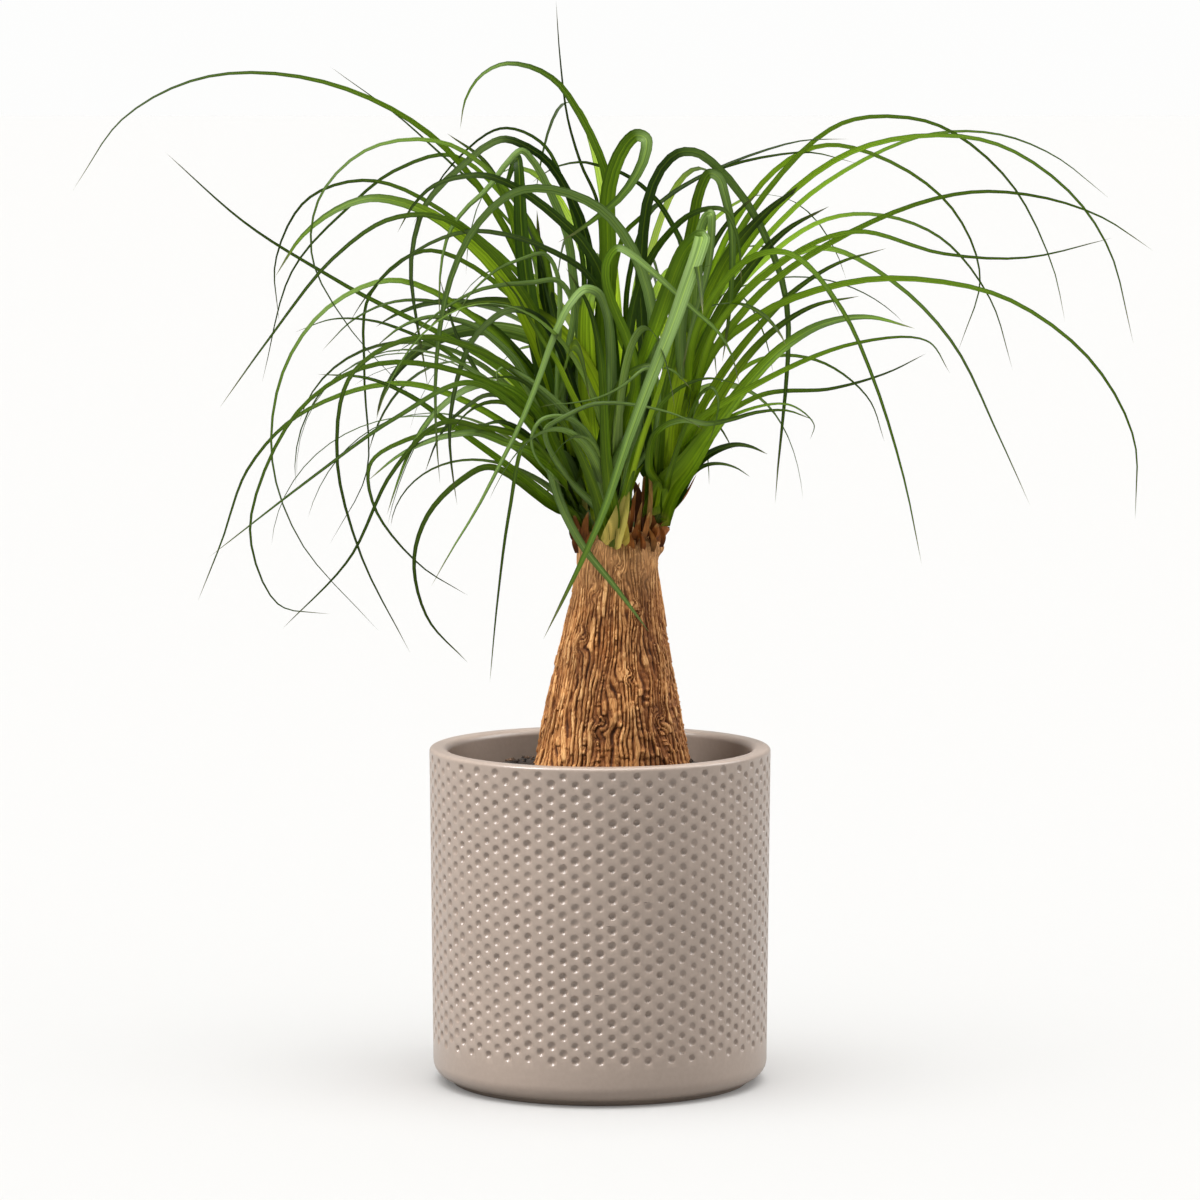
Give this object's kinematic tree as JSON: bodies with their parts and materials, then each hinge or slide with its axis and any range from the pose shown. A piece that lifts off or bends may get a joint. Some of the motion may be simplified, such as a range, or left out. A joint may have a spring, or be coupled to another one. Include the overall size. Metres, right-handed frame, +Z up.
{
  "type": "potted ponytail palm",
  "caption": "Ponytail palm with a corky tapered trunk and heads of long arching strap leaves, standing in soil in a round dimpled stoneware pot.",
  "frame": {"origin": "middle of the pot's foot, on the surface that the pot stands on", "axes": "+Z up along the pot's axis, -Y towards the front of the plant, +X to the viewer's right"},
  "size_m": [0.551, 0.5252, 0.569],
  "materials": {
    "stoneware": "satin taupe glaze on a hand-dimpled wall, smooth at the lip and the bottom band",
    "soil": "matt dark brown crumbs",
    "bark": "corky warm brown plates with dark upright fissures",
    "leaf": "satin mid green with fine lengthwise veins, yellow-green at the hearts"
  },
  "bodies": {
    "root": {"pot": "stoneware", "soil": "soil", "trunk": "bark", "head_left": "leaf", "head_right": "leaf", "head_front": "leaf", "head_back": "leaf"}
  },
  "joints": []
}
